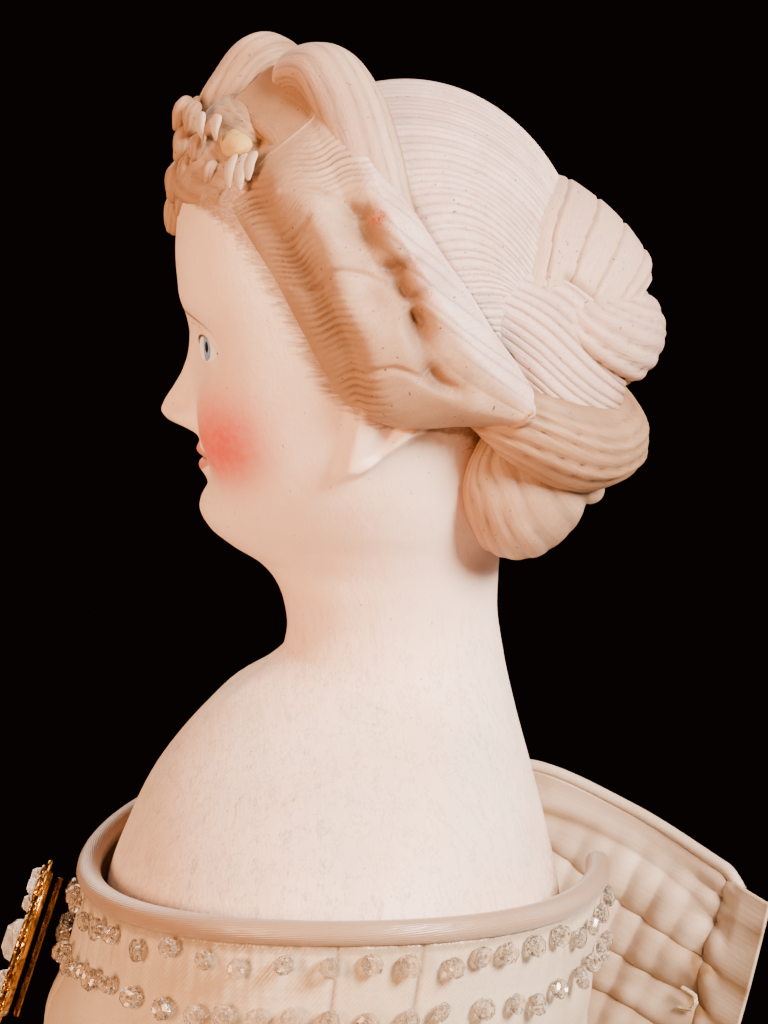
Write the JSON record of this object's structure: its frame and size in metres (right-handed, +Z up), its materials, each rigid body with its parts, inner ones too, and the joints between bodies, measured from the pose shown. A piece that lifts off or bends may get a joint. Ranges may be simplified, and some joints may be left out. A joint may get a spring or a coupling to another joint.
{
  "type": "porcelain shoulder-head doll",
  "caption": "Dressed bisque shoulder-head doll with moulded hair, beaded off-shoulder silk bodice, full skirt, cloth body and jointed limbs.",
  "frame": {"origin": "on the floor, in the middle of the skirt's hem", "axes": "+Z up, the doll faces -Y, its left hand is towards +X"},
  "size_m": [0.2886, 0.2686, 0.5294],
  "materials": {
    "bisque": "unglazed matt",
    "painted_hair": "matt fired paint",
    "muslin": "plain weave",
    "silk": "satin twill",
    "cotton": "fine plain weave",
    "crystal": "clear faceted",
    "gold": "gilt filigree",
    "rhinestone": "clear faceted",
    "thread": "waxed linen",
    "steel": "dull"
  },
  "bodies": {
    "torso": {"shoulder_head": "bisque", "cloth_torso": "muslin", "plate_stitch_front_left": "thread", "plate_stitch_front_right": "thread", "plate_stitch_back_left": "thread", "plate_stitch_back_right": "thread", "bodice_front": "silk", "bodice_back_left": "silk", "neckline_piping": "silk", "bead_row_upper": "crystal", "bead_row_lower": "crystal", "hook_1": "steel", "hook_2": "steel", "hook_3": "steel", "brooch_frame": "gold", "brooch_centre_stone": "rhinestone", "brooch_pin": "gold", "brooch_stone_1": "rhinestone", "brooch_stone_2": "rhinestone", "brooch_stone_3": "rhinestone", "brooch_stone_4": "rhinestone", "brooch_stone_5": "rhinestone", "brooch_stone_6": "rhinestone", "brooch_stone_7": "rhinestone", "brooch_stone_8": "rhinestone", "skirt": "silk", "petticoat": "cotton", "waistband": "silk", "hem_ruffle": "silk"},
    "back_panel": {"bodice_back_right": "silk", "panel_piping": "silk", "panel_bead_row_upper": "crystal", "panel_bead_row_lower": "crystal", "eye_1": "thread", "eye_2": "thread", "eye_3": "thread"},
    "arm_left": {"upper_arm_left": "muslin", "sleeve_left": "silk", "sleeve_band_left": "silk"},
    "forearm_left": {"forearm_left": "bisque", "arm_binding_left": "thread"},
    "thigh_left": {"thigh_left": "muslin", "drawers_left": "cotton"},
    "lower_leg_left": {"lower_leg_left": "bisque", "leg_binding_left": "thread"},
    "arm_right": {"upper_arm_right": "muslin", "sleeve_right": "silk", "sleeve_band_right": "silk"},
    "forearm_right": {"forearm_right": "bisque", "arm_binding_right": "thread"},
    "thigh_right": {"thigh_right": "muslin", "drawers_right": "cotton"},
    "lower_leg_right": {"lower_leg_right": "bisque", "leg_binding_right": "thread"}
  },
  "joints": [
    {"name": "back_panel_seam", "type": "hinge", "parent": "torso", "child": "back_panel", "pos_m": [-0.02584, 0.00862, 0.33], "axis": [-0.2144, 0.0292, 0.9763], "range_deg": [-46, 0]},
    {"name": "shoulder_left", "type": "hinge", "parent": "torso", "child": "arm_left", "pos_m": [0.057, -0.003, 0.384], "axis": [1, 0, 0], "range_deg": [-80, 25]},
    {"name": "elbow_left", "type": "hinge", "parent": "arm_left", "child": "forearm_left", "pos_m": [0.07641, -0.003, 0.31156], "axis": [0.9659, 0, 0.2588], "range_deg": [-60, 0]},
    {"name": "hip_left", "type": "hinge", "parent": "torso", "child": "thigh_left", "pos_m": [0.015, 0, 0.262], "axis": [1, 0, 0], "range_deg": [-18, 10]},
    {"name": "knee_left", "type": "hinge", "parent": "thigh_left", "child": "lower_leg_left", "pos_m": [0.015, 0, 0.14], "axis": [1, 0, 0], "range_deg": [0, 25]},
    {"name": "shoulder_right", "type": "hinge", "parent": "torso", "child": "arm_right", "pos_m": [-0.057, -0.003, 0.384], "axis": [1, 0, 0], "range_deg": [-80, 25]},
    {"name": "elbow_right", "type": "hinge", "parent": "arm_right", "child": "forearm_right", "pos_m": [-0.07641, -0.003, 0.31156], "axis": [0.9659, 0, -0.2588], "range_deg": [-60, 0]},
    {"name": "hip_right", "type": "hinge", "parent": "torso", "child": "thigh_right", "pos_m": [-0.015, 0, 0.262], "axis": [1, 0, 0], "range_deg": [-18, 10]},
    {"name": "knee_right", "type": "hinge", "parent": "thigh_right", "child": "lower_leg_right", "pos_m": [-0.015, 0, 0.14], "axis": [1, 0, 0], "range_deg": [0, 25]}
  ]
}
